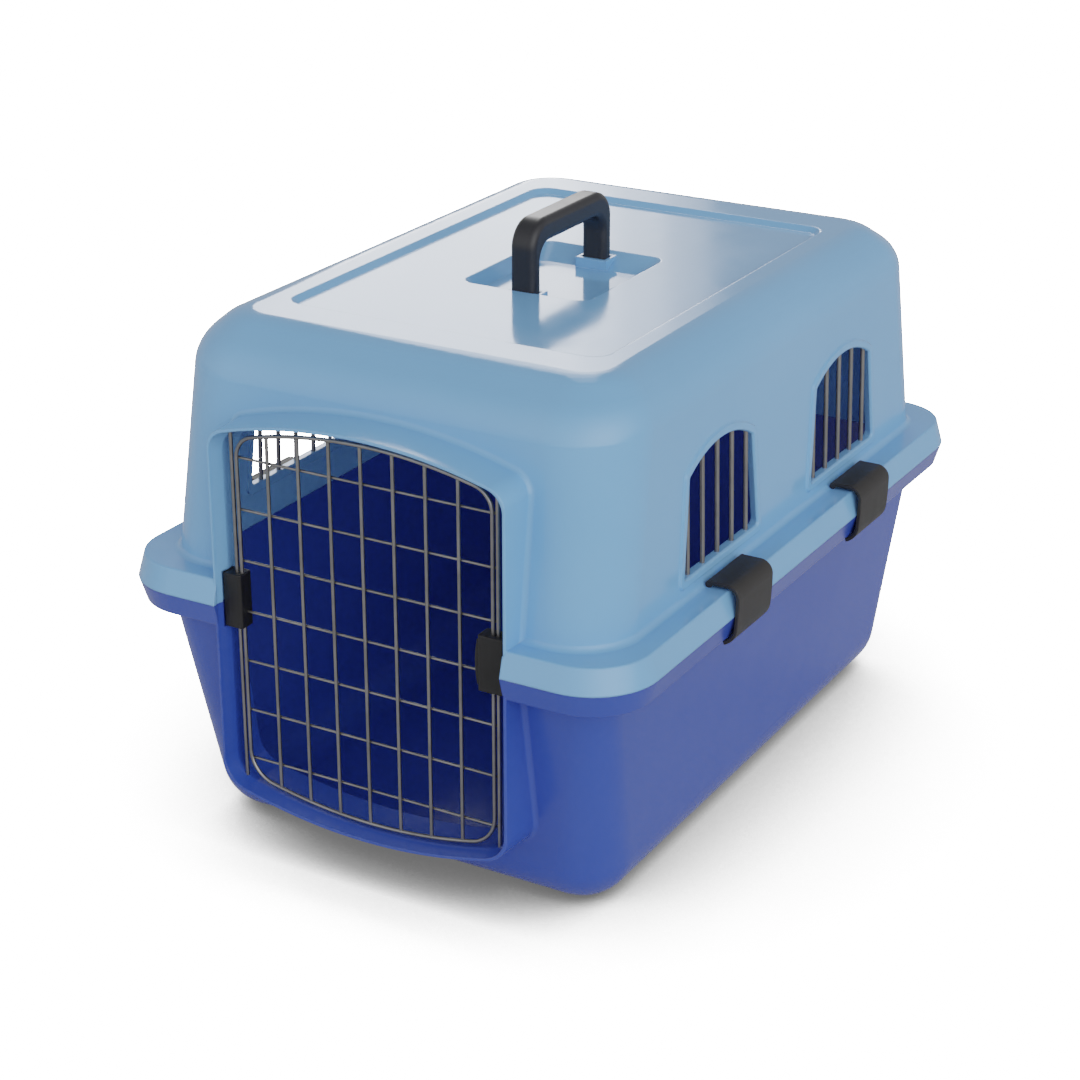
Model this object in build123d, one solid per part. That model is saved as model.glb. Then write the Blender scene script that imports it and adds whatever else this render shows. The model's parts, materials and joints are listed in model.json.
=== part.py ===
from build123d import *

import os
from math import atan, cos, radians, sin, sqrt

# A two-shell plastic pet carrier. Millimetres, +Z up, origin on the ground under
# the middle of the rim. The door faces -Y, and the long side runs along Y.

# --- Rim where the two shells meet: a shallow V, widest at the parting height ---
PARTING_Z = 158.5
RIM_HALF_WIDTH = 167.7
RIM_HALF_LENGTH = 240.2
RIM_CORNER = 40.0
RIM_HEIGHT_UP = 14.9
RIM_HEIGHT_DOWN = 14.0
RIM_TAPER = 4.2
RIM_SKIN = 2.6
RIM_EDGE_ROUND = 1.2
RIM_TOP_Z = PARTING_Z + RIM_HEIGHT_UP
RIM_BOTTOM_Z = PARTING_Z - RIM_HEIGHT_DOWN

# --- Shell walls: half sizes at the parting height, draft per millimetre of height ---
WALL = 3.0
HOOD_HALF_WIDTH = 148.0
HOOD_HALF_LENGTH = 223.4
HOOD_DRAFT_X = 0.030
HOOD_DRAFT_Y = 0.120
HOOD_CORNER_FOOT = 34.0
HOOD_CORNER_ROOF = 44.0
HOOD_FOOT_COVE = 3.5
ROOF_Z = 311.5
SHOULDER_DROP = 17.0
SHOULDER_INSET_X = 18.0
SHOULDER_INSET_Y = 26.0
ROOF_ROUND = 26.0
SHOULDER_ROUND = 26.0
SHOULDER_SKIN_SHARE = 0.4
TUB_HALF_WIDTH = 147.6
TUB_HALF_LENGTH = 223.8
TUB_DRAFT_X = 0.070
TUB_DRAFT_Y = 0.160
TUB_CORNER_TOP = 18.0
TUB_CORNER_GROUND = 34.0
TUB_ROUND = 31.0

# --- Roof panel and handle well ---
PANEL_HALF_WIDTH = 104.0
PANEL_HALF_LENGTH = 147.5
PANEL_CORNER = 12.0
PANEL_DEPTH = 3.2
PANEL_SLOPE_RUN = 4.0
PANEL_EDGE_ROUND = 1.6
PANEL_Z = ROOF_Z - PANEL_DEPTH
WELL_Y = -3.0
WELL_HALF_WIDTH = 42.5
WELL_HALF_LENGTH = 51.5
WELL_CORNER = 9.0
WELL_DEPTH = 8.0
WELL_SLOPE_X = 5.0
WELL_SLOPE_FRONT = 4.5
WELL_SLOPE_REAR = 18.0
WELL_EDGE_ROUND = 1.0
WELL_FLOOR_Z = PANEL_Z - WELL_DEPTH

# --- Handle and its screws ---
HANDLE_Y = -7.0
HANDLE_HALF_LENGTH = 48.3
HANDLE_WIDTH = 16.4
HANDLE_THICK = 10.2
HANDLE_TOP_Z = 349.6
HANDLE_GRIP_THICK = 14.6
HANDLE_OUTER_BEND = 17.0
HANDLE_INNER_BEND = 11.0
HANDLE_EDGE_ROUND = 4.2
BOSS_HALF_WIDTH = 10.5
BOSS_HALF_LENGTH = 7.6
BOSS_DEPTH = 8.0
SCREW_RADIUS = 2.0
SCREW_REACH = 14.0
SCREW_HEAD_RADIUS = 3.8
SCREW_HEAD_HEIGHT = 2.4
SCREW_HEAD_BEVEL = 0.6
SCREW_SLOT_WIDTH = 1.0
SCREW_SLOT_DEPTH = 1.2
SCREW_SLOT_REACH = 2.4

# --- Door collar and doorway ---
COLLAR_FRONT_Y = -236.8
COLLAR_BACK_Y = -190.0
COLLAR_ARCH_RADIUS = 320.0
COLLAR_TOP_CORNER = 13.0
COLLAR_BOTTOM_CORNER = 17.0
LIP_HALF_WIDTH = 95.6
LIP_TOP_Z = 276.6
LIP_BOTTOM_Z = 31.8
COLLAR_SPREAD = 2.0
MOUTH_HALF_WIDTH = 94.1
MOUTH_TOP_Z = 274.9
MOUTH_BOTTOM_Z = 33.6
DOORWAY_HALF_WIDTH = 92.0
DOORWAY_TOP_Z = 272.2
DOORWAY_BOTTOM_Z = 35.3
RIM_END_X = 93.6
LIP_ROUND = 0.6
COLLAR_COVE = 3.0
JUNCTION_FRONT_Y = COLLAR_FRONT_Y + 5.0
JUNCTION_BACK_Y = COLLAR_BACK_Y - 11.0
DOORWAY_BACK_Y = COLLAR_BACK_Y + 9.0

# --- Door ---
DOOR_Y = -227.0
WIRE_PITCH_X = 20.5
WIRE_PITCH_Z = 31.1
TOP_WIRE_Z = 245.9
WIRES_EACH_WAY = 7
FRAME_WIRE_RADIUS = 1.2
UPRIGHT_WIRE_RADIUS = 1.1
CROSS_WIRE_RADIUS = 0.8
CROSS_WIRE_Y = DOOR_Y + 1.7
WELD_BITE = 0.35
FRAME_HALF_WIDTH = 82.4
FRAME_TOP_Z = 268.6
FRAME_BOTTOM_Z = 38.6
FRAME_ARCH_RADIUS = 300.0
FRAME_TOP_CORNER = 14.0
FRAME_BOTTOM_CORNER = 19.0

# --- Hinge and latch on the upright edges of the door ---
ROD_X = 85.7
ROD_RADIUS = 1.2
RUNNING_CLEARANCE = 0.05
ROD_TOP_Z = 263.2
ROD_BOTTOM_Z = 44.2
BLOCK_BOTTOM_Z = 143.4
BLOCK_TOP_Z = 176.6
BLOCK_FRONT_Y = -231.6
BLOCK_BACK_Y = -220.6
BLOCK_ROUND = 1.6
BLOCK_END_ROUND = 0.7
BLOCK_NOTCH_GAP = 0.6
HINGE_BLOCK_INNER_X = 80.6
HINGE_BLOCK_OUTER_X = 93.1
SWING_RADIUS = 8.7
JAMB_NOTCH_RADIUS = 8.9
HOUSING_INNER_X = 74.8
HOUSING_OUTER_X = 91.0
HOUSING_WALL = 1.2
HOUSING_END = 2.0
BUTTON_NOSE_X = 72.7
BUTTON_BOW = 1.3
BUTTON_BACK_X = 76.8
BUTTON_WINDOW_LEDGE = 1.0
BUTTON_END_GAP = 0.2
BUTTON_FACE_GAP = 0.1
BUTTON_TRAVEL = 4.0
LATCH_ROD_TRAVEL = 6.0
WIRE_IN_LATCH = 3
WIRE_IN_LATCH_GAP = 0.1
HEAD_RADIUS = 2.0
HEAD_HEIGHT = 2.0
UPPER_HEAD_Z = 169.5
LOWER_HEAD_Z = 150.5
PEG_RADIUS = 0.7
PEG_FRONT_Y = -230.1
CAM_PLATE_BACK_Y = -229.25
CAM_TIP_X = 85.1
CAM_ARM_PAST_PAD = 0.8
PEG_CONTACT_GAP = 0.02
SPRING_RADIUS = 1.7
SPRING_WIRE_RADIUS = 0.25
SPRING_TURNS = 8

# --- Side clips: a bent sheet on a pin, with a hook that tucks under the rim ---
CLIP_Y = 86.0
CLIP_LENGTH = 44.5
CLIP_SHEET = 2.3
CLIP_EDGE_ROUND = 0.5
CLIP_PIN_X = 151.4
CLIP_PIN_Z = 175.5
CLIP_PIN_RADIUS = 0.8
CLIP_KNUCKLE_RADIUS = 2.0
CLIP_TOP_Z = CLIP_PIN_Z + CLIP_KNUCKLE_RADIUS
CLIP_OUT_X = 170.8
CLIP_BEND = 8.0
CLIP_KNEE_X = 170.0
CLIP_KNEE_Z = 151.0
CLIP_TIP_X = 161.9
CLIP_TIP_Z = 140.4
CLIP_TIP_LEAN = 70.0
LUG_RADIUS = 1.4
LUG_LENGTH = 8.0
LUG_POCKET_GAP = 0.15

# --- Windows in the side walls of the hood ---
WINDOW_Y = 84.6
WINDOW_SILL_Z = 185.6
WINDOW_SHOULDER_Z = 243.5
WINDOW_TOP_Z = 254.5
WINDOW_HALF_BASE = 47.0
WINDOW_HALF_SHOULDER = 40.0
WINDOW_BORDER = 6.0
WINDOW_BORDER_PROUD = 1.3
WINDOW_BORDER_BEVEL = 1.5
WINDOW_INNER_PAD = 1.6
WINDOW_INNER_FLARE = 2.6
WINDOW_OUTER_FLARE = 1.2
WINDOW_CORNER = 2.0
WINDOW_SHOULDER_GROWTH = 0.55
WINDOW_BARS = 5
WINDOW_BAR_PITCH = 18.6
WINDOW_BAR_RADIUS = 1.4
WINDOW_BAR_DEPTH = 2.4
WINDOW_BAR_SOCKET = 4.6
PANE_PLANE_Z = 215.0

# A reach past every side of the carrier, for tools that cut right through, and a hair of overlap.
BEYOND = 300.0
OVERLAP = 0.5

SIDES = (("right", 1), ("left", -1))
ENDS = (("front", -1), ("rear", 1))


def rounded_slice(half_width, half_length, corner, z):
    """A level rounded rectangle at height z."""
    return Plane.XY.offset(z) * RectangleRounded(2 * half_width, 2 * half_length, corner)


def box_between(low, high):
    """A box given by two opposite corners."""
    size = [b - a for a, b in zip(low, high)]
    centre = [(a + b) / 2 for a, b in zip(low, high)]
    return Pos(*centre) * Box(*size)


def upright_cylinder(x, y, low_z, high_z, radius):
    """A vertical round bar between two heights."""
    return Pos(x, y, (low_z + high_z) / 2) * Cylinder(radius, high_z - low_z)


def upright_pair(low_z, high_z, radius):
    """Two upright round bars, one on the axis of the hinge rod and one on that of the bolts."""
    return [upright_cylinder(side * ROD_X, DOOR_Y, low_z, high_z, radius) for _, side in SIDES]


def is_at_height(z):
    """A filter for edges that lie level at height z."""
    return lambda edge: abs(edge.bounding_box().min.Z - z) + abs(edge.bounding_box().max.Z - z) < 1e-3


def mirrored(shape):
    """The same shape on the other side of the carrier."""
    return mirror(shape, about=Plane.YZ)


# ---------------------------------------------------------------- shells


def hood_form(skin, bottom_z):
    """The hood as a filled form, drawn in by skin from its outer face."""

    def slice_at(z, corner, inset_x=0.0, inset_y=0.0):
        rise = z - PARTING_Z
        half_width = HOOD_HALF_WIDTH - HOOD_DRAFT_X * rise - skin - inset_x
        half_length = HOOD_HALF_LENGTH - HOOD_DRAFT_Y * rise - skin - inset_y
        return rounded_slice(half_width, half_length, corner, z)

    share = SHOULDER_SKIN_SHARE * skin
    top_z = ROOF_Z - skin
    shoulder_z = ROOF_Z - SHOULDER_DROP - share
    foot = slice_at(bottom_z, HOOD_CORNER_FOOT - skin)
    shoulder = slice_at(shoulder_z, HOOD_CORNER_ROOF - share)
    roof_corner = HOOD_CORNER_ROOF - SHOULDER_INSET_X
    roof = slice_at(top_z, roof_corner, SHOULDER_INSET_X - share, SHOULDER_INSET_Y - share)
    form = loft([foot, shoulder], ruled=True) + loft([shoulder, roof], ruled=True)
    form = fillet(form.edges().filter_by(is_at_height(shoulder_z)), SHOULDER_ROUND - skin)
    return fillet(form.edges().filter_by(is_at_height(top_z)), ROOF_ROUND - skin)


def tub_form(skin, top_z):
    """The tub as a filled form, drawn in by skin from its outer face."""

    def slice_at(z, corner):
        drop = PARTING_Z - z
        half_width = TUB_HALF_WIDTH - TUB_DRAFT_X * drop - skin
        half_length = TUB_HALF_LENGTH - TUB_DRAFT_Y * drop - skin
        return rounded_slice(half_width, half_length, corner - skin, z)

    form = loft([slice_at(skin, TUB_CORNER_GROUND), slice_at(top_z, TUB_CORNER_TOP)], ruled=True)
    return fillet(form.edges().filter_by(is_at_height(skin)), TUB_ROUND - skin)


def rim_form(end_z, skin):
    """One half of the rim as a filled form, from the parting height to end_z."""
    half_width = RIM_HALF_WIDTH - skin
    half_length = RIM_HALF_LENGTH - skin
    corner = RIM_CORNER - skin
    widest = rounded_slice(half_width, half_length, corner, PARTING_Z)
    narrow = rounded_slice(half_width - RIM_TAPER, half_length - RIM_TAPER, corner - RIM_TAPER, end_z)
    return loft([widest, narrow], ruled=True)


def arched_outline(half_width, top_z, bottom_z, top_corner, bottom_corner, radius):
    """The doorway outline in the XZ plane: upright sides, a bowed top and a bowed bottom."""
    bow = radius - sqrt(radius**2 - half_width**2)
    spring_top = top_z - bow
    spring_bottom = bottom_z + bow
    top_left = (-half_width, spring_top)
    top_right = (half_width, spring_top)
    bottom_left = (-half_width, spring_bottom)
    bottom_right = (half_width, spring_bottom)
    loop = Wire(
        [
            Edge.make_line(bottom_right, top_right),
            Edge.make_three_point_arc(top_right, (0, top_z), top_left),
            Edge.make_line(top_left, bottom_left),
            Edge.make_three_point_arc(bottom_left, (0, bottom_z), bottom_right),
        ]
    )
    face = Face(loop)
    corners = face.vertices()
    face = face.fillet_2d(top_corner, [v for v in corners if abs(v.Y - spring_top) < 1e-3])
    corners = face.vertices()
    return face.fillet_2d(bottom_corner, [v for v in corners if abs(v.Y - spring_bottom) < 1e-3])


def standing(face, y):
    """A face drawn in X and Z, stood up in the vertical plane at y, facing -Y."""
    return Plane((0, y, 0), x_dir=(1, 0, 0), z_dir=(0, -1, 0)) * face


def slab(face, back_y, front_y):
    """A face drawn in X and Z, given thickness from back_y forward to front_y."""
    return extrude(standing(face, back_y), back_y - front_y, dir=(0, -1, 0))


def doorway_outline(half_width, top_z, bottom_z):
    """The arched outline of the collar or the doorway for the given edges."""
    return arched_outline(
        half_width, top_z, bottom_z, COLLAR_TOP_CORNER, COLLAR_BOTTOM_CORNER, COLLAR_ARCH_RADIUS
    )


def tapered(front, front_y, back, back_y):
    """A straight-sided form between two door-shaped outlines."""
    front_face = standing(doorway_outline(*front), front_y)
    back_face = standing(doorway_outline(*back), back_y)
    return loft([front_face, back_face], ruled=True)


def collar_form():
    """The door collar as a filled form with a rounded lip, running back into the front walls."""
    lip = (LIP_HALF_WIDTH, LIP_TOP_Z, LIP_BOTTOM_Z)
    root = (LIP_HALF_WIDTH + COLLAR_SPREAD, LIP_TOP_Z + COLLAR_SPREAD, LIP_BOTTOM_Z - COLLAR_SPREAD)
    form = tapered(lip, COLLAR_FRONT_Y, root, COLLAR_BACK_Y)
    front = form.faces().sort_by(Axis.Y)[0]
    return fillet(front.edges(), LIP_ROUND)


def with_collar(form, low_z, high_z):
    """A shell form with the collar added between two heights and coved into its front wall."""
    front_half = box_between((-BEYOND, -BEYOND, low_z), (BEYOND, 0, high_z))
    joined = form + (collar_form() & front_half)
    reach_x = LIP_HALF_WIDTH + 2 * COLLAR_SPREAD

    def on_junction(edge):
        box = edge.bounding_box()
        level_cut = max(abs(box.min.Z - PARTING_Z), abs(box.max.Z - PARTING_Z)) < 1e-3
        across = max(abs(box.min.X), abs(box.max.X)) < reach_x
        on_wall = box.min.Y > JUNCTION_FRONT_Y and box.max.Y < JUNCTION_BACK_Y
        below_roof = box.max.Z < ROOF_Z - SHOULDER_DROP
        return across and on_wall and below_roof and not level_cut

    return fillet(joined.edges().filter_by(on_junction), COLLAR_COVE)


def doorway_form():
    """Everything that must be open for the door: mouth, doorway and jamb notches."""
    mouth = (MOUTH_HALF_WIDTH, MOUTH_TOP_Z, MOUTH_BOTTOM_Z)
    doorway = (DOORWAY_HALF_WIDTH, DOORWAY_TOP_Z, DOORWAY_BOTTOM_Z)
    opening = tapered(mouth, COLLAR_FRONT_Y, doorway, DOOR_Y)
    opening = opening + slab(doorway_outline(*doorway), DOORWAY_BACK_Y, DOOR_Y)
    rim_gap_low = (-RIM_END_X, -BEYOND, RIM_BOTTOM_Z - OVERLAP)
    rim_gap_high = (RIM_END_X, COLLAR_FRONT_Y, RIM_TOP_Z + OVERLAP)
    in_front = box_between(rim_gap_low, rim_gap_high)
    low_z = BLOCK_BOTTOM_Z - BLOCK_NOTCH_GAP
    high_z = BLOCK_TOP_Z + BLOCK_NOTCH_GAP
    notches = upright_pair(low_z, high_z, JAMB_NOTCH_RADIUS)
    return opening + in_front + notches


def rod_sockets():
    """Blind round holes in the collar above and below the doorway for the door rods."""
    radius = ROD_RADIUS + RUNNING_CLEARANCE
    low_z = ROD_BOTTOM_Z - 2 * RUNNING_CLEARANCE
    high_z = ROD_TOP_Z + 2 * RUNNING_CLEARANCE
    return upright_pair(low_z, high_z, radius)


def base_shell(doorway):
    """The lower tub with its collar half and the down-turned rim."""
    ledge_z = PARTING_Z - WALL
    outer = tub_form(0, PARTING_Z)
    rim = rim_form(RIM_BOTTOM_Z, 0)
    rim = fillet(rim.edges().filter_by(is_at_height(RIM_BOTTOM_Z)), RIM_EDGE_ROUND)
    rim = rim - rim_form(RIM_BOTTOM_Z - 1, RIM_SKIN) + rim_form(ledge_z, 0)
    shell = with_collar(outer, 0, PARTING_Z) + rim
    shell = shell - tub_form(WALL, PARTING_Z + 1)
    return shell - doorway - rod_sockets()


def is_inside_rim(box):
    """Whether an edge's box lies nearer to the hood wall than to the rim's outer edge."""
    limit = (RIM_HALF_WIDTH - RIM_TAPER + HOOD_HALF_WIDTH) / 2
    return max(abs(box.min.X), abs(box.max.X)) < limit


def top_shell(doorway):
    """The hood with its rim, collar half, roof panel, handle well and windows."""
    outer = hood_form(0, PARTING_Z)
    rim = rim_form(RIM_TOP_Z, 0)
    rim = fillet(rim.edges().filter_by(is_at_height(RIM_TOP_Z)), RIM_EDGE_ROUND)
    hollow = rim_form(RIM_TOP_Z - WALL, RIM_SKIN) - outer
    rim = rim - hollow
    shell = outer + rim
    rim_top = shell.edges().filter_by(is_at_height(RIM_TOP_Z))
    foot = rim_top.filter_by(lambda edge: is_inside_rim(edge.bounding_box()))
    shell = fillet(foot, HOOD_FOOT_COVE) + with_collar(outer, PARTING_Z, ROOF_Z)
    inside = hood_form(WALL, PARTING_Z - 1) - dished_form(WALL) - panel_form(WALL)
    shell = with_roof_recess(shell) - inside + handle_bosses() - handle_seats() + clip_lugs()
    for _, side in SIDES:
        for _, end in ENDS:
            shell = add_window(shell, side, end)
    shell = shell - doorway - rod_sockets() - screw_shanks(RUNNING_CLEARANCE) - clip_pin_bars(0)
    return shell


# ---------------------------------------------------------------- roof and handle


def with_roof_recess(shell):
    """The hood with the panel and the handle well sunk into its roof, and their brims rounded."""
    shell = shell - panel_form(0)
    roof_edges = shell.edges().filter_by(is_at_height(ROOF_Z))
    panel_brim = roof_edges.filter_by(is_on_brim(PANEL_HALF_WIDTH, PANEL_HALF_LENGTH))
    shell = fillet(panel_brim, PANEL_EDGE_ROUND) - dished_form(0)
    panel_edges = shell.edges().filter_by(is_at_height(PANEL_Z))
    well_brim = panel_edges.filter_by(is_on_brim(WELL_HALF_WIDTH, WELL_HALF_LENGTH))
    return fillet(well_brim, WELL_EDGE_ROUND)


def is_on_brim(half_width, half_length):
    """A filter for edges inside this half width and half length, with room for an offset centre."""

    def inside(edge):
        box = edge.bounding_box()
        across = max(abs(box.min.X), abs(box.max.X)) < half_width + OVERLAP
        along = max(abs(box.min.Y), abs(box.max.Y)) < half_length + abs(WELL_Y) + OVERLAP
        return across and along

    return inside


def panel_form(skin):
    """The shallow sunken panel of the roof, made larger and lower by skin."""
    floor = rounded_slice(
        PANEL_HALF_WIDTH - PANEL_SLOPE_RUN + skin,
        PANEL_HALF_LENGTH - PANEL_SLOPE_RUN + skin,
        PANEL_CORNER - PANEL_SLOPE_RUN + skin,
        PANEL_Z - skin,
    )
    brim = rounded_slice(PANEL_HALF_WIDTH + skin, PANEL_HALF_LENGTH + skin, PANEL_CORNER + skin, ROOF_Z)
    return loft([floor, brim], ruled=True)


def dished_form(skin):
    """The handle well under the panel, made larger and lower by skin."""
    floor = rounded_slice(
        WELL_HALF_WIDTH - WELL_SLOPE_X + skin,
        WELL_HALF_LENGTH - (WELL_SLOPE_FRONT + WELL_SLOPE_REAR) / 2 + skin,
        WELL_CORNER + skin,
        WELL_FLOOR_Z - skin,
    )
    floor = Pos(0, (WELL_SLOPE_FRONT - WELL_SLOPE_REAR) / 2, 0) * floor
    half_width = WELL_HALF_WIDTH + skin
    half_length = WELL_HALF_LENGTH + skin
    brim = rounded_slice(half_width, half_length, WELL_CORNER + skin, PANEL_Z + OVERLAP)
    return Pos(0, WELL_Y, 0) * loft([floor, brim], ruled=True)


def handle_leg_centres():
    """The Y positions of the middles of the two handle legs."""
    reach = HANDLE_HALF_LENGTH - HANDLE_THICK / 2
    return (HANDLE_Y - reach, HANDLE_Y + reach)


def handle_bosses():
    """Blocks under the roof that hold the handle legs and the screws."""
    bosses = []
    for y in handle_leg_centres():
        low = (-BOSS_HALF_WIDTH, y - BOSS_HALF_LENGTH, WELL_FLOOR_Z - BOSS_DEPTH)
        high = (BOSS_HALF_WIDTH, y + BOSS_HALF_LENGTH, PANEL_Z - WALL / 2)
        bosses.append(box_between(low, high))
    return bosses


def handle_seats():
    """Square pockets that the handle legs stand in where they cut into the well wall."""
    seats = []
    for y in handle_leg_centres():
        low = (-HANDLE_WIDTH / 2, y - HANDLE_THICK / 2, WELL_FLOOR_Z)
        high = (HANDLE_WIDTH / 2, y + HANDLE_THICK / 2, ROOF_Z)
        seats.append(box_between(low, high))
    return seats


def screw_shanks(gap):
    """The round shanks of the two handle screws, grown by gap."""
    low_z = WELL_FLOOR_Z - BOSS_DEPTH
    high_z = WELL_FLOOR_Z + SCREW_REACH
    return [upright_cylinder(0, y, low_z, high_z, SCREW_RADIUS + gap) for y in handle_leg_centres()]


def handle_screws():
    """Two pan-head screws with cross slots, driven up from inside the hood."""
    top_z = WELL_FLOOR_Z - BOSS_DEPTH
    low_z = top_z - SCREW_HEAD_HEIGHT
    slot_top = low_z + SCREW_SLOT_DEPTH
    half = SCREW_SLOT_WIDTH / 2
    reach = SCREW_SLOT_REACH
    screws = []
    for y, shank in zip(handle_leg_centres(), screw_shanks(0)):
        head = upright_cylinder(0, y, low_z, top_z, SCREW_HEAD_RADIUS)
        head = chamfer(head.edges().filter_by(is_at_height(low_z)), SCREW_HEAD_BEVEL)
        along = box_between((-half, y - reach, low_z), (half, y + reach, slot_top))
        across = box_between((-reach, y - half, low_z), (reach, y + half, slot_top))
        screws.append(head + shank - along - across)
    return Compound(screws)


def carry_handle():
    """The bridge handle: a flat-sided arch standing in the well."""
    half = HANDLE_WIDTH / 2
    inner_top = HANDLE_TOP_Z - HANDLE_GRIP_THICK
    outer = box_between(
        (-half, HANDLE_Y - HANDLE_HALF_LENGTH, WELL_FLOOR_Z),
        (half, HANDLE_Y + HANDLE_HALF_LENGTH, HANDLE_TOP_Z),
    )
    outer_bends = outer.edges().filter_by(Axis.X).filter_by(is_at_height(HANDLE_TOP_Z))
    outer = fillet(outer_bends, HANDLE_OUTER_BEND)
    gap_half = HANDLE_HALF_LENGTH - HANDLE_THICK
    inner = box_between(
        (-half, HANDLE_Y - gap_half, WELL_FLOOR_Z - OVERLAP),
        (half, HANDLE_Y + gap_half, inner_top),
    )
    inner_bends = inner.edges().filter_by(Axis.X).filter_by(is_at_height(inner_top))
    inner = fillet(inner_bends, HANDLE_INNER_BEND)
    handle = outer - inner
    handle = fillet(handle.faces().filter_by(Axis.X).edges(), HANDLE_EDGE_ROUND)
    return handle - screw_shanks(RUNNING_CLEARANCE)


# ---------------------------------------------------------------- windows


def wall_plane(y, depth):
    """A plane on the right side wall of the hood, leaning with it, depth inside its face."""
    lean = atan(HOOD_DRAFT_X)
    x = HOOD_HALF_WIDTH - HOOD_DRAFT_X * (PANE_PLANE_Z - PARTING_Z)
    plane = Plane((x, y, PANE_PLANE_Z), x_dir=(0, 1, 0), z_dir=(cos(lean), 0, sin(lean)))
    return plane.offset(-depth)


def window_outline(grow, sill_up=0.0):
    """The arched window outline about the pane centre, grown all round, with the sill raised again."""
    base = WINDOW_SILL_Z - PANE_PLANE_Z - grow + sill_up
    shoulder = WINDOW_SHOULDER_Z - PANE_PLANE_Z + grow * WINDOW_SHOULDER_GROWTH
    peak = WINDOW_TOP_Z - PANE_PLANE_Z + grow
    slope = (WINDOW_HALF_BASE - WINDOW_HALF_SHOULDER) / (WINDOW_SHOULDER_Z - WINDOW_SILL_Z)
    half_base = WINDOW_HALF_BASE + grow * (1 + slope)
    half_shoulder = half_base - slope * (shoulder - base)
    loop = Wire(
        [
            Edge.make_line((-half_base, base), (half_base, base)),
            Edge.make_line((half_base, base), (half_shoulder, shoulder)),
            Edge.make_three_point_arc((half_shoulder, shoulder), (0, peak), (-half_shoulder, shoulder)),
            Edge.make_line((-half_shoulder, shoulder), (-half_base, base)),
        ]
    )
    face = Face(loop)
    return face.fillet_2d(WINDOW_CORNER + grow / 2, face.vertices())


def add_window(shell, side, end):
    """The shell with one window: raised border outside, pad inside, and the flared opening."""
    y = end * WINDOW_Y
    edge = wall_plane(y, 0) * window_outline(0)
    foot = wall_plane(y, OVERLAP) * window_outline(WINDOW_BORDER)
    crown = wall_plane(y, -WINDOW_BORDER_PROUD) * window_outline(WINDOW_BORDER - WINDOW_BORDER_BEVEL)
    inside = wall_plane(y, WALL - OVERLAP) * window_outline(WINDOW_BORDER)
    border = loft([foot, crown], ruled=True)
    pad = extrude(inside, -WINDOW_INNER_PAD - OVERLAP)
    behind = wall_plane(y, WALL + WINDOW_INNER_PAD + OVERLAP)
    opening = loft([edge, behind * window_outline(WINDOW_INNER_FLARE, WINDOW_INNER_FLARE)], ruled=True)
    ahead = wall_plane(y, -WINDOW_BORDER_PROUD - OVERLAP)
    flare = loft([edge, ahead * window_outline(WINDOW_OUTER_FLARE)], ruled=True)
    bars = window_bar_forms(y, WINDOW_BAR_RADIUS)
    if side < 0:
        border, pad, opening, flare = [mirrored(form) for form in (border, pad, opening, flare)]
        bars = [mirrored(bar) for bar in bars]
    return shell + border + pad - opening - flare - bars


def window_bar_forms(y, radius):
    """The upright bars of one right-hand window, leaning with the wall."""
    plane = wall_plane(y, WINDOW_BAR_DEPTH)
    low = WINDOW_SILL_Z - WINDOW_BAR_SOCKET - PANE_PLANE_Z
    rise = WINDOW_TOP_Z - WINDOW_SHOULDER_Z
    arch_radius = (WINDOW_HALF_SHOULDER**2 + rise**2) / (2 * rise)
    bars = []
    for index in range(WINDOW_BARS):
        across = (index - (WINDOW_BARS - 1) / 2) * WINDOW_BAR_PITCH
        sag = arch_radius - sqrt(arch_radius**2 - across**2)
        high = WINDOW_TOP_Z - sag + WINDOW_BAR_SOCKET - PANE_PLANE_Z
        start = plane.from_local_coords((across, low, 0))
        finish = plane.from_local_coords((across, high, 0))
        direction = Vector(*finish) - Vector(*start)
        base = Plane(origin=Vector(*start), z_dir=direction)
        bars.append(Solid.make_cylinder(radius, direction.length, base))
    return bars


def window_bars(side, end):
    """The five wires of one window as one group."""
    bars = window_bar_forms(end * WINDOW_Y, WINDOW_BAR_RADIUS)
    if side < 0:
        bars = [mirrored(bar) for bar in bars]
    return Compound(bars)


# ---------------------------------------------------------------- side clips


def clip_curve(inset):
    """The bend, the leg and the hook of a clip in the XZ plane, drawn in by inset."""
    lean = radians(CLIP_TIP_LEAN)
    bend_end = (CLIP_OUT_X - inset, CLIP_TOP_Z - CLIP_BEND)
    tip = (CLIP_TIP_X - inset * cos(lean), CLIP_TIP_Z + inset * sin(lean))
    bend = Edge.make_tangent_arc((CLIP_OUT_X - CLIP_BEND, CLIP_TOP_Z - inset), (1, 0), bend_end)
    leg = Edge.make_tangent_arc(bend_end, (0, -1), (CLIP_KNEE_X - inset, CLIP_KNEE_Z))
    hook = Edge.make_tangent_arc(leg @ 1, leg % 1, tip)
    return [bend, leg, hook]


def clip_section():
    """The clip cross-section in the XZ plane: a flat tongue, a bend, a leg and a hook, all one sheet."""
    outside = clip_curve(0)
    inside = clip_curve(CLIP_SHEET)
    tongue_top = (CLIP_PIN_X, CLIP_TOP_Z)
    tongue_low = (CLIP_PIN_X, CLIP_TOP_Z - CLIP_SHEET)
    straights = [
        Edge.make_line(tongue_top, outside[0] @ 0),
        Edge.make_line(outside[-1] @ 1, inside[-1] @ 1),
        Edge.make_line(inside[0] @ 0, tongue_low),
        Edge.make_line(tongue_low, tongue_top),
    ]
    return Face(Wire(outside + inside + straights))


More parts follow.
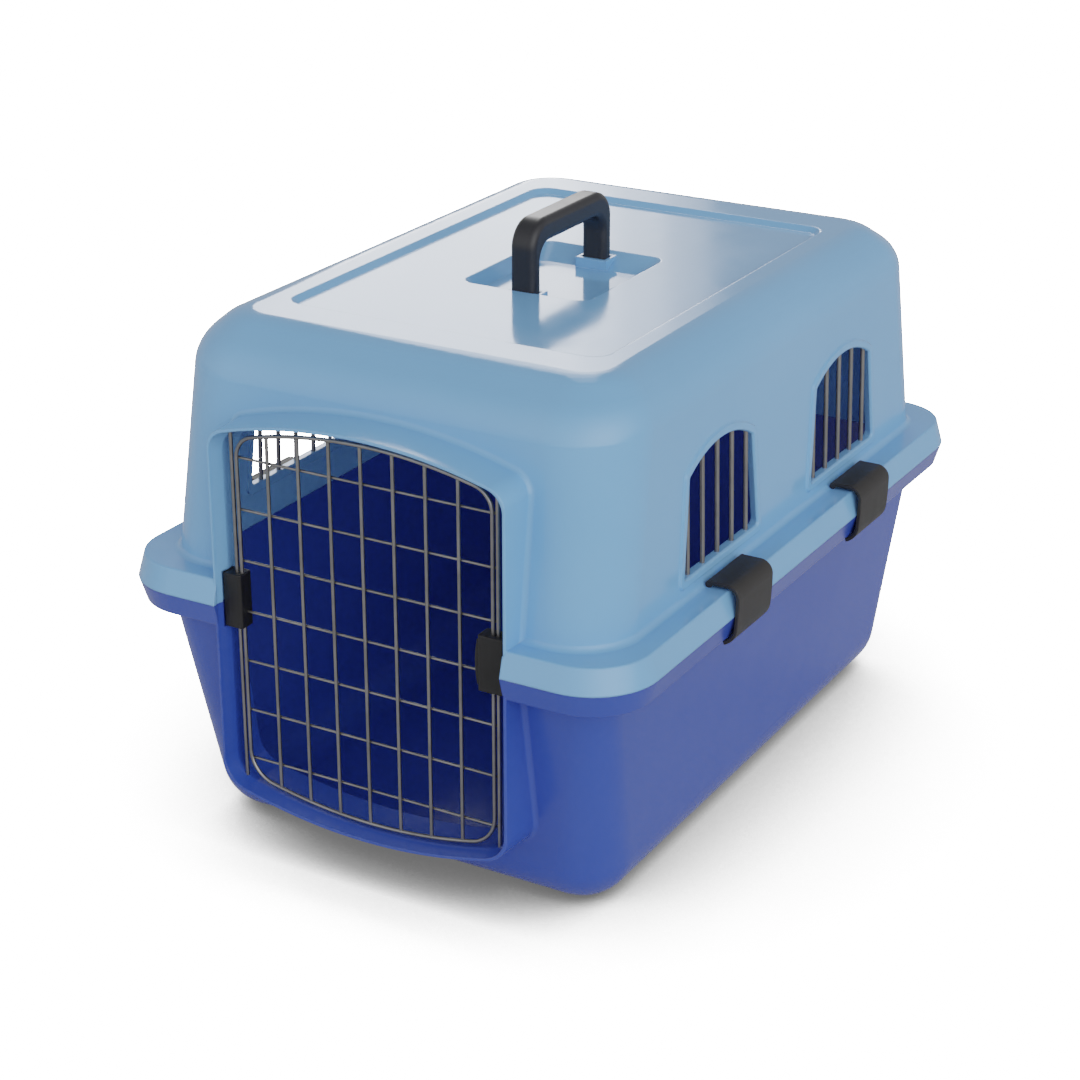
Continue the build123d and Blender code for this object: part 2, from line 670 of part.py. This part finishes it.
def side_clip(end):
    """One right-hand clip, with a knuckle on its pin and a pocket for the lug."""
    half = CLIP_LENGTH / 2
    y = end * CLIP_Y
    clip = slab(clip_section(), y + half, y - half)
    end_edges = clip.faces().filter_by(Axis.Y).edges()
    clip = fillet([edge for edge in end_edges if edge.center().X > CLIP_PIN_X + OVERLAP], CLIP_EDGE_ROUND)
    knuckle = Pos(CLIP_PIN_X, y, CLIP_PIN_Z) * Rot(90, 0, 0) * Cylinder(CLIP_KNUCKLE_RADIUS, CLIP_LENGTH)
    pocket_half = LUG_LENGTH / 2 + LUG_POCKET_GAP
    pocket_radius = LUG_RADIUS + LUG_POCKET_GAP
    pocket = box_between(
        (0, y - pocket_half, 0),
        (CLIP_PIN_X + pocket_radius, y + pocket_half, CLIP_PIN_Z + pocket_radius),
    )
    return clip + knuckle - pocket - clip_pin_bar(end, RUNNING_CLEARANCE)


def clip_pin_bar(end, gap):
    """The pin of one right-hand clip, grown by gap."""
    bar = Cylinder(CLIP_PIN_RADIUS + gap, CLIP_LENGTH - 1)
    return Pos(CLIP_PIN_X, end * CLIP_Y, CLIP_PIN_Z) * Rot(90, 0, 0) * bar


def clip_pin_bars(gap):
    """All four clip pins."""
    right = [clip_pin_bar(end, gap) for _, end in ENDS]
    return right + [mirrored(bar) for bar in right]


def clip_lugs():
    """The four lugs on the rim that hold the clip pins."""
    lugs = []
    for _, end in ENDS:
        y = end * CLIP_Y
        eye = Pos(CLIP_PIN_X, y, CLIP_PIN_Z) * Rot(90, 0, 0) * Cylinder(LUG_RADIUS, LUG_LENGTH)
        stem = box_between(
            (CLIP_PIN_X - LUG_RADIUS, y - LUG_LENGTH / 2, RIM_TOP_Z - OVERLAP),
            (CLIP_PIN_X + LUG_RADIUS, y + LUG_LENGTH / 2, CLIP_PIN_Z),
        )
        lugs.append(eye + stem)
    return lugs + [mirrored(lug) for lug in lugs]


# ---------------------------------------------------------------- door


def frame_outline():
    """The centre line of the door frame wire, as a face in the XZ plane."""
    return arched_outline(
        FRAME_HALF_WIDTH,
        FRAME_TOP_Z,
        FRAME_BOTTOM_Z,
        FRAME_TOP_CORNER,
        FRAME_BOTTOM_CORNER,
        FRAME_ARCH_RADIUS,
    )


def door_frame():
    """The closed wire loop around the door."""
    path = standing(frame_outline(), DOOR_Y).outer_wire()
    start = path.edges().filter_by(Axis.Z).sort_by(Axis.X)[0]
    middle = start @ 0.5
    ring = Plane(middle, z_dir=start % 0.5) * Circle(FRAME_WIRE_RADIUS)
    return sweep(ring, path=path)


def wire_offsets(pitch):
    """Positions of the seven evenly spaced wires about zero."""
    return [pitch * (index - (WIRES_EACH_WAY - 1) / 2) for index in range(WIRES_EACH_WAY)]


def door_vertical_wires():
    """Seven upright wires, welded to the top and bottom of the frame."""
    wires = []
    for x in wire_offsets(WIRE_PITCH_X):
        bow = FRAME_ARCH_RADIUS - sqrt(FRAME_ARCH_RADIUS**2 - x**2)
        inset = bow + FRAME_WIRE_RADIUS - WELD_BITE
        low_z = FRAME_BOTTOM_Z + inset
        high_z = FRAME_TOP_Z - inset
        wires.append(upright_cylinder(x, DOOR_Y, low_z, high_z, UPRIGHT_WIRE_RADIUS))
    return Compound(wires)


def cross_wire(index, gap):
    """One cross wire, counted from the top, grown by gap."""
    length = 2 * FRAME_HALF_WIDTH + FRAME_WIRE_RADIUS
    bar = Rot(0, 90, 0) * Cylinder(CROSS_WIRE_RADIUS + gap, length)
    return Pos(0, CROSS_WIRE_Y, TOP_WIRE_Z - WIRE_PITCH_Z * index) * bar


def door_horizontal_wires():
    """Seven cross wires, welded to the back of the uprights and the frame."""
    return Compound([cross_wire(index, 0) for index in range(WIRES_EACH_WAY)])


def hinge_rod():
    """The long fixed rod on the left that the door turns on."""
    return upright_cylinder(-ROD_X, DOOR_Y, ROD_BOTTOM_Z, ROD_TOP_Z, ROD_RADIUS)


def block_form(low_x, high_x):
    """The outside of a block clamped to the side of the door, with rounded upright edges."""
    block = box_between((low_x, BLOCK_FRONT_Y, BLOCK_BOTTOM_Z), (high_x, BLOCK_BACK_Y, BLOCK_TOP_Z))
    block = fillet(block.edges().filter_by(Axis.Z), BLOCK_ROUND)
    top = block.edges().filter_by(is_at_height(BLOCK_TOP_Z))
    bottom = block.edges().filter_by(is_at_height(BLOCK_BOTTOM_Z))
    return fillet(top + bottom, BLOCK_END_ROUND)


def block_bore(x):
    """The round hole up through a block for the rod at x."""
    low_z = BLOCK_BOTTOM_Z - OVERLAP
    high_z = BLOCK_TOP_Z + OVERLAP
    return upright_cylinder(x, DOOR_Y, low_z, high_z, ROD_RADIUS + RUNNING_CLEARANCE)


def hinge_block(frame, cross_wires):
    """The plastic block moulded round the frame wire and bored for the hinge rod."""
    block = block_form(-HINGE_BLOCK_OUTER_X, -HINGE_BLOCK_INNER_X)
    block = block & upright_cylinder(-ROD_X, DOOR_Y, BLOCK_BOTTOM_Z, BLOCK_TOP_Z, SWING_RADIUS)
    return block - block_bore(-ROD_X) - frame - cross_wires


# ---------------------------------------------------------------- latch


def latch_cavity():
    """The hollow inside the latch housing, with the window for the button."""
    low_z = BLOCK_BOTTOM_Z + HOUSING_END
    high_z = BLOCK_TOP_Z - HOUSING_END
    room = box_between(
        (HOUSING_INNER_X + HOUSING_WALL, BLOCK_FRONT_Y + HOUSING_WALL, low_z),
        (HOUSING_OUTER_X - HOUSING_WALL, BLOCK_BACK_Y - HOUSING_WALL, high_z),
    )
    window = box_between(
        (BUTTON_NOSE_X, BLOCK_FRONT_Y + HOUSING_WALL, low_z + BUTTON_WINDOW_LEDGE),
        (HOUSING_INNER_X + 2 * HOUSING_WALL, BLOCK_BACK_Y - HOUSING_WALL, high_z - BUTTON_WINDOW_LEDGE),
    )
    return room + window


def latch_housing(frame, cross_wires):
    """The hollow latch case clamped to the free side of the door."""
    case = block_form(HOUSING_INNER_X, HOUSING_OUTER_X) - latch_cavity()
    return case - block_bore(ROD_X) - frame - cross_wires


def latch_button():
    """The thumb piece: a bowed pad with a cam plate that draws both rods inward."""
    inset = HOUSING_END + BUTTON_WINDOW_LEDGE + BUTTON_END_GAP
    low_z = BLOCK_BOTTOM_Z + inset
    high_z = BLOCK_TOP_Z - inset
    front_y = BLOCK_FRONT_Y + HOUSING_WALL + BUTTON_FACE_GAP
    back_y = BLOCK_BACK_Y - HOUSING_WALL - BUTTON_FACE_GAP
    nose = (BUTTON_NOSE_X, (low_z + high_z) / 2)
    nose_low = (BUTTON_NOSE_X + BUTTON_BOW, low_z)
    nose_high = (BUTTON_NOSE_X + BUTTON_BOW, high_z)
    back_low = (BUTTON_BACK_X, low_z)
    back_high = (BUTTON_BACK_X, high_z)
    pad = Face(
        Wire(
            [
                Edge.make_three_point_arc(nose_low, nose, nose_high),
                Edge.make_line(nose_high, back_high),
                Edge.make_line(back_high, back_low),
                Edge.make_line(back_low, nose_low),
            ]
        )
    )
    button = slab(pad, back_y, front_y) + cam_plate(front_y, low_z, high_z)
    return button - cross_wire(WIRE_IN_LATCH, WIRE_IN_LATCH_GAP)


def cam_plate(front_y, low_z, high_z):
    """A flat plate in front of the wires with two sloping edges that push the rod pegs."""
    slope = LATCH_ROD_TRAVEL / BUTTON_TRAVEL
    run = BUTTON_TRAVEL + PEG_RADIUS
    contact_gap = (PEG_RADIUS + PEG_CONTACT_GAP) * sqrt(1 + slope**2)
    stem_front_x = BUTTON_BACK_X - 2 * OVERLAP
    stem_back_x = BUTTON_BACK_X + 2 * HOUSING_WALL - 2 * OVERLAP
    arm_x = stem_back_x - OVERLAP
    stem = [(stem_front_x, low_z), (stem_back_x, low_z), (stem_back_x, high_z), (stem_front_x, high_z)]
    outlines = [stem]
    for peg_z, end_z, away in ((UPPER_HEAD_Z, high_z, 1), (LOWER_HEAD_Z, low_z, -1)):
        tip_z = peg_z + away * (contact_gap - slope * (ROD_X - CAM_TIP_X))
        root_z = tip_z - away * slope * run
        far_z = end_z + away * CAM_ARM_PAST_PAD
        slope_ends = [(CAM_TIP_X, tip_z), (CAM_TIP_X - run, root_z)]
        outlines.append([*slope_ends, (arm_x, root_z), (arm_x, far_z), (CAM_TIP_X, far_z)])
    return [slab(Face(Wire.make_polygon(points)), CAM_PLATE_BACK_Y, front_y) for points in outlines]


def latch_rod(head_z, tip_z):
    """One spring bolt: a long rod, a head for the spring, and a peg for the cam plate."""
    low, high = sorted((head_z, tip_z))
    rod = upright_cylinder(ROD_X, DOOR_Y, low, high, ROD_RADIUS)
    half = HEAD_HEIGHT / 2
    head = upright_cylinder(ROD_X, DOOR_Y, head_z - half, head_z + half, HEAD_RADIUS)
    peg_length = DOOR_Y - PEG_FRONT_Y
    peg = Pos(ROD_X, DOOR_Y - peg_length / 2, head_z) * Rot(90, 0, 0) * Cylinder(PEG_RADIUS, peg_length)
    return rod + head + peg


def latch_spring():
    """The coil that pushes the two bolts apart."""
    low = LOWER_HEAD_Z + HEAD_HEIGHT / 2 + SPRING_WIRE_RADIUS
    high = UPPER_HEAD_Z - HEAD_HEIGHT / 2 - SPRING_WIRE_RADIUS
    path = Pos(ROD_X, DOOR_Y, low) * Helix((high - low) / SPRING_TURNS, high - low, SPRING_RADIUS)
    ring = Plane(path @ 0, z_dir=path % 0) * Circle(SPRING_WIRE_RADIUS)
    return sweep(ring, path=path, is_frenet=True)


def build():
    """Every sub-part by name."""
    doorway = doorway_form()
    frame = door_frame()
    cross_wires = door_horizontal_wires()
    parts = {
        "base_shell": base_shell(doorway),
        "top_shell": top_shell(doorway),
        "carry_handle": carry_handle(),
        "handle_screws": handle_screws(),
        "clip_hinge_pins": Compound(clip_pin_bars(0)),
        "door_frame": frame,
        "door_vertical_wires": door_vertical_wires(),
        "door_horizontal_wires": cross_wires,
        "hinge_rod": hinge_rod(),
        "hinge_block": hinge_block(frame, cross_wires),
        "latch_housing": latch_housing(frame, cross_wires),
        "latch_button": latch_button(),
        "upper_latch_rod": latch_rod(UPPER_HEAD_Z, ROD_TOP_Z),
        "lower_latch_rod": latch_rod(LOWER_HEAD_Z, ROD_BOTTOM_Z),
        "latch_spring": latch_spring(),
    }
    for end_name, end in ENDS:
        clip = side_clip(end)
        parts[f"clip_{end_name}_right"] = clip
        parts[f"clip_{end_name}_left"] = mirrored(clip)
        for side_name, side in SIDES:
            parts[f"window_bars_{end_name}_{side_name}"] = window_bars(side, end)
    return parts


os.makedirs("parts", exist_ok=True)
for name, shape in build().items():
    export_step(shape, f"parts/{name}.step")
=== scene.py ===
import json
import math

import bpy
from mathutils import Euler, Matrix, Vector

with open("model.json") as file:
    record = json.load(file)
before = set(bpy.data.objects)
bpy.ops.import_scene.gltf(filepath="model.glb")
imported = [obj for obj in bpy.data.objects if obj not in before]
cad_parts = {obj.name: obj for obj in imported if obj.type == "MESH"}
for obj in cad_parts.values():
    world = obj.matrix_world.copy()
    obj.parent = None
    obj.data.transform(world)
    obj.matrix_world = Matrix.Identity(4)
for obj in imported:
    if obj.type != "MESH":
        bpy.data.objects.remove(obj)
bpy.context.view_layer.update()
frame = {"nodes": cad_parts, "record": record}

# --- Colours, in linear light ---
HOOD_BLUE = (0.200, 0.440, 0.820)
BASE_BLUE = (0.030, 0.078, 0.430)
HANDLE_BLACK = (0.009, 0.010, 0.014)
CLIP_GREY = (0.018, 0.017, 0.017)
LATCH_BLACK = (0.005, 0.005, 0.006)
BUTTON_BLACK = (0.0045, 0.0045, 0.0054)
WIRE_GREY = (0.315, 0.31, 0.305)
STEEL_GREY = (0.55, 0.55, 0.57)
FLOOR_WHITE = (0.80, 0.80, 0.80)
FLOOR_MIRRORED = (0.66, 0.66, 0.66)

# --- Grain of the mouldings: noise scale, and bump depth in metres ---
GLOSSY_GRAIN = (1600.0, 0.000001)
SATIN_GRAIN = (2600.0, 0.000006)
COARSE_GRAIN = (2600.0, 0.00001)

# --- Plastics by material slot. An edge radius is in metres, and a shine of 0.5 is plain plastic ---
SHELL_EDGE = 0.0012
FITTING_EDGE = 0.0008
PLASTICS = {
    # slot: colour, roughness, grain, edge radius, shine
    "hood_plastic": (HOOD_BLUE, 0.11, GLOSSY_GRAIN, SHELL_EDGE, 0.5),
    "base_plastic": (BASE_BLUE, 0.20, GLOSSY_GRAIN, SHELL_EDGE, 0.5),
    "handle_plastic": (HANDLE_BLACK, 0.36, SATIN_GRAIN, FITTING_EDGE, 0.42),
    "clip_plastic": (CLIP_GREY, 0.48, COARSE_GRAIN, FITTING_EDGE, 0.33),
    "latch_plastic": (LATCH_BLACK, 0.40, SATIN_GRAIN, FITTING_EDGE, 0.35),
    "button_plastic": (BUTTON_BLACK, 0.42, SATIN_GRAIN, FITTING_EDGE, 0.35),
}
PLASTIC_IOR = 1.5
MOTTLE_DARKENS = 0.035
MOTTLE_LIGHTENS = 0.012
RUBBED_LIGHTENS = 0.16
RUBBED_MOST = 0.35

# --- Metals by material slot ---
METALS = {
    # slot: colour, roughness, how much darker the dull patches are
    "wire": (WIRE_GREY, 0.33, 0.25),
    "steel": (STEEL_GREY, 0.32, 0.12),
}
DRAW_MARK_DEPTH = 0.00004

# --- Noise scales: the larger the number, the finer the pattern ---
MOTTLE_SCALE = 9.0
SMUDGE_SCALE = 22.0
DULL_PATCH_SCALE = 55.0
STREAK_SCALE = 60.0
SCUFF_SCALE = 140.0
DRAW_MARK_SCALE = 900.0
FLOOR_CLOUD_SCALE = 1.5
STREAK_STRETCH = (1.0, 1.0, 0.12)
DRAW_MARK_STRETCH = (1.0, 1.0, 0.06)

# --- Studio. Radiance is in scene units; headings turn from +Y towards -X, in degrees ---
PAGE_WHITE = 24.0
SKY_AT_HORIZON = 0.56
SKY_AT_ZENITH = 0.24
GLOW_TIGHTNESS = 4.0
GLOWS = (
    # heading, elevation, radiance
    (240.0, 14.0, 2.2),
    (150.0, 18.0, 0.55),
)
AREA_LAMP_FACTOR = 4.0
CARRIER_MIDDLE = Vector((0.0, 0.0, 0.20))
WINDOW_DISTANCE = 8.0
WINDOW_RADIANCE = 3.9
WINDOW_LEFT = 38.5
WINDOW_BOTTOM = 7.0
WINDOW_PANES = (
    # heading of the right edge, elevation of the top edge
    (29.0, 25.0),
    (28.0, 38.0),
    (26.5, 52.0),
    (25.0, 68.0),
)
FLOOR_SIZE = 60.0

# --- Painted floor shade, as stops of light against how much of the sky a spot sees ---
OPEN_FLOOR = 0.82
SHADED_FLOOR = 0.16
OPEN_STOPS = 4.6
SHADED_STOPS = -3.0
SHADE_REACH = 0.35
SHADE_SAMPLES = 16
EDGE_SAMPLES = 4

# --- Camera, at the photograph's viewing angle ---
CAMERA_PLACE = (0.69807, -1.25028, 0.73439)
CAMERA_TURN_DEG = (67.15, 0.0, 29.84)
CAMERA_LENS = 82.37
CAMERA_SENSOR = 36.0


class Nodes:
    """A short way to add and join the nodes of one shader tree."""

    def __init__(self, owner):
        owner.use_nodes = True
        self.tree = owner.node_tree

    def named(self, name):
        return self.tree.nodes[name]

    def feed(self, node, key, value):
        """Sets an input, given by its name or its place, to a number or joins it to an output."""
        if isinstance(value, bpy.types.NodeSocket):
            self.tree.links.new(value, node.inputs[key])
        else:
            node.inputs[key].default_value = value

    def add(self, kind, *by_place, **by_name):
        node = self.tree.nodes.new(kind)
        for place, value in enumerate(by_place):
            self.feed(node, place, value)
        for name, value in by_name.items():
            self.feed(node, name.replace("_", " "), value)
        return node

    def maths(self, operation, *values):
        node = self.add("ShaderNodeMath", *values)
        node.operation = operation
        return node.outputs[0]

    def dot(self, first, second):
        node = self.add("ShaderNodeVectorMath", first, second)
        node.operation = "DOT_PRODUCT"
        return node.outputs["Value"]

    def spread(self, value, low_in, high_in, low_out, high_out):
        """A value carried from one range over to another, and held at the ends."""
        return self.add("ShaderNodeMapRange", value, low_in, high_in, low_out, high_out).outputs[0]

    def noise(self, scale, detail=3.0, stretch=None):
        place = self.add("ShaderNodeTexCoord").outputs["Object"]
        if stretch:
            place = self.add("ShaderNodeMapping", Vector=place, Scale=stretch).outputs[0]
        return self.add("ShaderNodeTexNoise", Vector=place, Scale=scale, Detail=detail).outputs["Fac"]

    def blend(self, factor, first, second):
        """A colour between two others, each a plain colour or an output."""
        node = self.tree.nodes.new("ShaderNodeMix")
        node.data_type = "RGBA"
        self.feed(node, 0, factor)
        for place, colour in ((6, first), (7, second)):
            self.feed(node, place, (*colour, 1.0) if isinstance(colour, tuple) else colour)
        return node.outputs[2]

    def edges(self, radius):
        """1 near hard edges and 0 on open faces, with the rounded normal that goes with it."""
        soft = self.add("ShaderNodeBevel", Radius=radius)
        soft.samples = EDGE_SAMPLES
        flat = self.add("ShaderNodeNewGeometry").outputs["Normal"]
        likeness = self.dot(soft.outputs[0], flat)
        return self.spread(likeness, 0.995, 0.80, 0.0, 1.0), soft.outputs[0]

    def bump(self, height, distance, normal=None):
        node = self.add("ShaderNodeBump", Height=height, Distance=distance, Strength=1.0)
        if normal is not None:
            self.feed(node, "Normal", normal)
        return node.outputs[0]


def lighter(colour, share):
    return tuple(channel + (1.0 - channel) * share for channel in colour)


def darker(colour, share):
    return tuple(channel * (1.0 - share) for channel in colour)


def moulded_plastic(name, colour, roughness, grain, edge_radius, shine):
    """Injection-moulded plastic: faint pigment mottle, fine grain, and edges rubbed a little paler."""
    material = bpy.data.materials.new(name)
    n = Nodes(material)
    shader = n.named("Principled BSDF")

    mottle = n.spread(n.noise(MOTTLE_SCALE, 4.0), 0.3, 0.7, 0.0, 1.0)
    body = n.blend(mottle, darker(colour, MOTTLE_DARKENS), lighter(colour, MOTTLE_LIGHTENS))
    worn, soft = n.edges(edge_radius)
    scuffs = n.spread(n.noise(SCUFF_SCALE, 5.0), 0.42, 0.62, 0.0, 1.0)
    rubbed = n.maths("MULTIPLY", n.maths("MULTIPLY", worn, scuffs), RUBBED_MOST)
    n.feed(shader, "Base Color", n.blend(rubbed, body, lighter(colour, RUBBED_LIGHTENS)))

    smudge = n.spread(n.noise(SMUDGE_SCALE, 5.0), 0.35, 0.68, -0.020, 0.030)
    streak = n.spread(n.noise(STREAK_SCALE, 2.0, STREAK_STRETCH), 0.40, 0.60, -0.012, 0.012)
    n.feed(shader, "Roughness", n.maths("ADD", n.maths("ADD", smudge, streak), roughness))

    grain_scale, grain_depth = grain
    n.feed(shader, "Normal", n.bump(n.noise(grain_scale, 2.0), grain_depth, soft))
    n.feed(shader, "IOR", PLASTIC_IOR)
    n.feed(shader, "Specular IOR Level", shine)
    return material


def drawn_wire(name, colour, roughness, dulling):
    """Drawn steel wire: fine lengthwise draw marks, dull patches, and a soft metal shine."""
    material = bpy.data.materials.new(name)
    n = Nodes(material)
    shader = n.named("Principled BSDF")

    dull = n.spread(n.noise(DULL_PATCH_SCALE, 5.0), 0.35, 0.65, 0.0, 1.0)
    n.feed(shader, "Base Color", n.blend(dull, colour, darker(colour, dulling)))
    n.feed(shader, "Metallic", 1.0)

    marks = n.noise(DRAW_MARK_SCALE, 2.0, DRAW_MARK_STRETCH)
    patchy = n.maths("ADD", n.spread(dull, 0.0, 1.0, -0.02, 0.05), roughness)
    n.feed(shader, "Roughness", n.maths("ADD", n.spread(marks, 0.3, 0.7, -0.015, 0.015), patchy))
    n.feed(shader, "Normal", n.bump(marks, DRAW_MARK_DEPTH))
    return material


def floor_paint_and_painted_shade(name):
    """A pale studio sweep: white where it is open, with a soft grey painted shade near the carrier that the
    camera sees as a glow.
    """
    material = bpy.data.materials.new(name)
    n = Nodes(material)
    shader = n.named("Principled BSDF")
    path = n.add("ShaderNodeLightPath").outputs

    cloud = n.spread(n.noise(FLOOR_CLOUD_SCALE, 3.0), 0.3, 0.7, 0.0, 1.0)
    paint = n.blend(cloud, FLOOR_WHITE, darker(FLOOR_WHITE, 0.01))
    n.feed(shader, "Base Color", n.blend(path["Is Glossy Ray"], paint, FLOOR_MIRRORED))
    n.feed(shader, "Roughness", 0.9)
    n.feed(shader, "Specular IOR Level", 0.0)

    # Painted shade: to the camera the floor is a glow, dimmer where less of the sky is seen near the
    # carrier, in place of a cast shadow; other rays see the paint.
    shade = n.add("ShaderNodeAmbientOcclusion", Distance=SHADE_REACH)
    shade.samples = SHADE_SAMPLES
    stops = n.spread(shade.outputs["AO"], SHADED_FLOOR, OPEN_FLOOR, SHADED_STOPS, OPEN_STOPS)
    glow = n.add("ShaderNodeEmission", Strength=n.maths("POWER", 2.0, stops))
    pick = n.add("ShaderNodeMixShader", path["Is Camera Ray"], shader.outputs[0], glow.outputs[0])
    n.feed(n.named("Material Output"), "Surface", pick.outputs[0])
    return material


def dress_everything():
    """Puts the material of its slot on each CAD node."""
    looks = {slot: moulded_plastic(slot, *finish) for slot, finish in PLASTICS.items()}
    looks.update({slot: drawn_wire(slot, *finish) for slot, finish in METALS.items()})
    for entry in frame["record"]["subparts"]:
        materials = frame["nodes"][entry["node"]].data.materials
        materials.clear()
        materials.append(looks[entry["material_slot"]])


def towards(heading, elevation):
    """The direction with this heading and elevation."""
    turn = math.radians(heading)
    lift = math.radians(elevation)
    return Vector((-math.sin(turn) * math.cos(lift), math.cos(turn) * math.cos(lift), math.sin(lift)))


def surround():
    """Plain white to the camera. To everything else, a soft sky with broad glows from the front."""
    world = bpy.data.worlds.new("surround")
    bpy.context.scene.world = world
    n = Nodes(world)
    place = n.add("ShaderNodeTexCoord").outputs["Generated"]
    height = n.add("ShaderNodeSeparateXYZ", place).outputs["Z"]
    radiance = n.spread(height, 0.0, 1.0, SKY_AT_HORIZON, SKY_AT_ZENITH)

    for heading, elevation, strength in GLOWS:
        facing = n.maths("MAXIMUM", n.dot(place, towards(heading, elevation)), 0.0)
        lobe = n.maths("POWER", facing, GLOW_TIGHTNESS)
        radiance = n.maths("MULTIPLY_ADD", lobe, strength, radiance)

    seen = n.add("ShaderNodeLightPath").outputs["Is Camera Ray"]
    pick = n.add("ShaderNodeMix", Factor=seen, A=radiance, B=PAGE_WHITE)
    n.feed(n.named("Background"), "Color", (1.0, 1.0, 1.0, 1.0))
    n.feed(n.named("Background"), "Strength", pick.outputs[0])


def window_pane(name, right_heading, top_elevation):
    """A rectangular lamp behind the carrier that faces it, hidden from the camera."""
    half_width = math.tan(math.radians(WINDOW_LEFT - right_heading) / 2) * WINDOW_DISTANCE
    half_height = math.tan(math.radians(top_elevation - WINDOW_BOTTOM) / 2) * WINDOW_DISTANCE
    radiance = WINDOW_RADIANCE / len(WINDOW_PANES)
    lamp = bpy.data.lights.new(name, "AREA")
    lamp.shape = "RECTANGLE"
    lamp.size = 2 * half_width
    lamp.size_y = 2 * half_height
    lamp.energy = AREA_LAMP_FACTOR * lamp.size * lamp.size_y * radiance
    away = towards((WINDOW_LEFT + right_heading) / 2, (WINDOW_BOTTOM + top_elevation) / 2)
    obj = bpy.data.objects.new(name, lamp)
    obj.location = CARRIER_MIDDLE + WINDOW_DISTANCE * away
    obj.rotation_euler = away.to_track_quat("Z", "Y").to_euler()
    obj.visible_camera = False
    bpy.context.scene.collection.objects.link(obj)


def studio():
    """A white floor, a white surround, and a tall window behind that fades towards its top and its right."""
    bpy.ops.mesh.primitive_plane_add(size=FLOOR_SIZE)
    floor = bpy.context.object
    floor.name = "studio_floor"
    floor.data.materials.append(floor_paint_and_painted_shade("studio_floor"))
    surround()
    for index, (right_heading, top_elevation) in enumerate(WINDOW_PANES):
        window_pane(f"window_pane_{index}", right_heading, top_elevation)


def camera():
    """The scene camera."""
    data = bpy.data.cameras.new("photo_view")
    data.lens = CAMERA_LENS
    data.sensor_width = CAMERA_SENSOR
    obj = bpy.data.objects.new("photo_view", data)
    obj.location = CAMERA_PLACE
    obj.rotation_euler = Euler([math.radians(angle) for angle in CAMERA_TURN_DEG])
    bpy.context.scene.collection.objects.link(obj)
    bpy.context.scene.camera = obj


dress_everything()
studio()
camera()
bpy.context.scene.view_settings.view_transform = "Filmic"
